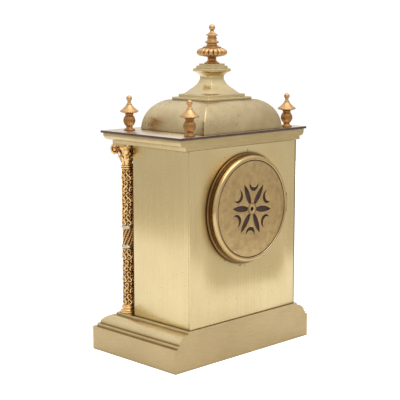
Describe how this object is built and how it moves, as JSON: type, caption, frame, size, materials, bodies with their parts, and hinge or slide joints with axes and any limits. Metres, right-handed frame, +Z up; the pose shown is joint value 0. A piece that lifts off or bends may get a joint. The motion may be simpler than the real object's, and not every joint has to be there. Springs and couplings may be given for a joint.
{
  "type": "carriage clock",
  "caption": "Brass clock case with moulded base, corner columns, overhanging top, domed roof with turned finials, and a pierced round door over the movement at the back.",
  "frame": {"origin": "centre of the underside of the base, on the table", "axes": "+Z up, -Y towards the dial side, +Y towards the round door at the back, +X across, to the left of someone facing the back door"},
  "size_m": [0.2, 0.1356, 0.339],
  "materials": {
    "case_brass": "fine brushed lacquered brass",
    "base_brass": "polished lacquered brass",
    "gilt": "gilt cast brass",
    "finial_gilt": "coppery gilt",
    "roof_brass": "aged brass, speckled",
    "dark_bronze": "dark patinated, polished top",
    "door_brass": "polished brass",
    "fret_brass": "grained brass",
    "silvered": "silvered",
    "steel": "polished steel",
    "blued_steel": "blued",
    "movement_brass": "machined brass",
    "bell_metal": "turned bell metal",
    "enamel": "white enamel with black numbers",
    "floor_iron": "black painted sheet",
    "glass": "clear"
  },
  "bodies": {
    "case": {"base_moulding": "base_brass", "base_floor": "floor_iron", "floor_screws": "steel", "side_panel_left": "case_brass", "side_panel_right": "case_brass", "back_plate": "case_brass", "front_plate": "case_brass", "corner_angles": "case_brass", "cornice": "base_brass", "top_slab": "dark_bronze", "dome": "roof_brass", "dome_pedestal": "roof_brass", "main_finial": "finial_gilt", "corner_finials": "finial_gilt", "column_feet": "gilt", "column_shafts": "gilt", "column_rings": "silvered", "column_capitals": "gilt", "tie_rods": "steel", "tie_nuts": "steel", "rear_collar": "door_brass", "front_collar": "door_brass", "hinge_pins": "steel", "movement_straps": "movement_brass", "movement_screws": "blued_steel", "dial": "enamel", "movement_front_plate": "movement_brass", "movement_back_plate": "movement_brass", "plate_pillars": "movement_brass", "pillar_nuts": "steel", "escapement_platform": "movement_brass", "escape_bridge": "movement_brass", "balance_cock": "movement_brass", "bell": "bell_metal", "bell_stand": "steel", "bell_nut": "blued_steel"},
    "rear_door": {"rear_bezel": "door_brass", "rear_fret": "fret_brass"},
    "front_door": {"front_bezel": "door_brass", "front_glass": "glass"},
    "minute": {"minute_hand": "blued_steel", "cannon_pinion": "steel"},
    "hour": {"hour_hand": "blued_steel", "hour_wheel": "movement_brass"},
    "reverse": {"reverse_wheel": "movement_brass"},
    "barrel": {"barrel": "movement_brass", "barrel_cover": "movement_brass", "mainspring": "blued_steel"},
    "winding": {"barrel_arbor": "steel", "ratchet_wheel": "steel"},
    "click": {"ratchet_click": "steel"},
    "intermediate": {"intermediate_wheel": "movement_brass"},
    "centre": {"centre_wheel": "movement_brass"},
    "third": {"third_wheel": "movement_brass"},
    "fourth": {"fourth_wheel": "movement_brass"},
    "escape": {"escape_wheel": "movement_brass"},
    "lever": {"pallet_lever": "steel"},
    "balance": {"balance_wheel": "movement_brass", "hairspring": "blued_steel"},
    "hammer": {"strike_hammer": "steel"}
  },
  "joints": [
    {"name": "rear_door_hinge", "type": "hinge", "parent": "case", "child": "rear_door", "pos_m": [-0.0566, 0.0665, 0.154], "axis": [0, 0, 1], "range_deg": [0, 100]},
    {"name": "front_door_hinge", "type": "hinge", "parent": "case", "child": "front_door", "pos_m": [0.0553, -0.0428, 0.154], "axis": [0, 0, 1], "range_deg": [0, 100]},
    {"name": "minute_hand_turn", "type": "hinge", "parent": "case", "child": "minute", "pos_m": [0, -0.0419, 0.154], "axis": [0, 1, 0], "continuous": true},
    {"name": "hour_hand_turn", "type": "hinge", "parent": "case", "child": "hour", "pos_m": [0, -0.0405, 0.154], "axis": [0, 1, 0], "continuous": true},
    {"name": "reverse_wheel_turn", "type": "hinge", "parent": "case", "child": "reverse", "pos_m": [-0.01, -0.034, 0.154], "axis": [0, 1, 0], "continuous": true},
    {"name": "barrel_turn", "type": "hinge", "parent": "case", "child": "barrel", "pos_m": [0, -0.012, 0.13111], "axis": [0, 1, 0], "continuous": true},
    {"name": "winding_turn", "type": "hinge", "parent": "case", "child": "winding", "pos_m": [0, -0.012, 0.13111], "axis": [0, 1, 0], "continuous": true},
    {"name": "click_lift", "type": "hinge", "parent": "case", "child": "click", "pos_m": [-0.0094, 0.0104, 0.14061], "axis": [0, 1, 0], "range_deg": [0, 8], "stiffness_Nm_per_rad": 0.002, "springref_deg": -11.46},
    {"name": "intermediate_wheel_turn", "type": "hinge", "parent": "case", "child": "intermediate", "pos_m": [0.01541, -0.024, 0.14682], "axis": [0, 1, 0], "continuous": true},
    {"name": "centre_wheel_turn", "type": "hinge", "parent": "case", "child": "centre", "pos_m": [0, -0.01, 0.154], "axis": [0, 1, 0], "continuous": true},
    {"name": "third_wheel_turn", "type": "hinge", "parent": "case", "child": "third", "pos_m": [-0.01069, -0.005, 0.16469], "axis": [0, 1, 0], "continuous": true},
    {"name": "fourth_wheel_turn", "type": "hinge", "parent": "case", "child": "fourth", "pos_m": [0.00109, -0.004, 0.17149], "axis": [0, 1, 0], "continuous": true},
    {"name": "escape_wheel_turn", "type": "hinge", "parent": "case", "child": "escape", "pos_m": [0.0126, 0.008, 0.17686], "axis": [0, 1, 0], "continuous": true},
    {"name": "lever_rock", "type": "hinge", "parent": "case", "child": "lever", "pos_m": [0.0061, 0.0126, 0.17686], "axis": [0, 1, 0], "range_deg": [-5, 5]},
    {"name": "balance_swing", "type": "hinge", "parent": "case", "child": "balance", "pos_m": [-0.0024, 0.017, 0.17686], "axis": [0, 1, 0], "range_deg": [-135, 135], "stiffness_Nm_per_rad": 0.000008},
    {"name": "hammer_lift", "type": "hinge", "parent": "case", "child": "hammer", "pos_m": [0.031, -0.012, 0.138], "axis": [0, -1, 0], "range_deg": [0, 12], "stiffness_Nm_per_rad": 0.01, "springref_deg": -11.46}
  ],
  "couplings": [
    {"joint": "hour_hand_turn", "follows": "minute_hand_turn", "ratio": 0.083333},
    {"joint": "reverse_wheel_turn", "follows": "minute_hand_turn", "ratio": -0.33333},
    {"joint": "third_wheel_turn", "follows": "fourth_wheel_turn", "ratio": -0.13333},
    {"joint": "centre_wheel_turn", "follows": "fourth_wheel_turn", "ratio": 0.016667},
    {"joint": "intermediate_wheel_turn", "follows": "fourth_wheel_turn", "ratio": -0.0022222},
    {"joint": "barrel_turn", "follows": "fourth_wheel_turn", "ratio": 0.00035088},
    {"joint": "escape_wheel_turn", "follows": "fourth_wheel_turn", "ratio": -10}
  ]
}
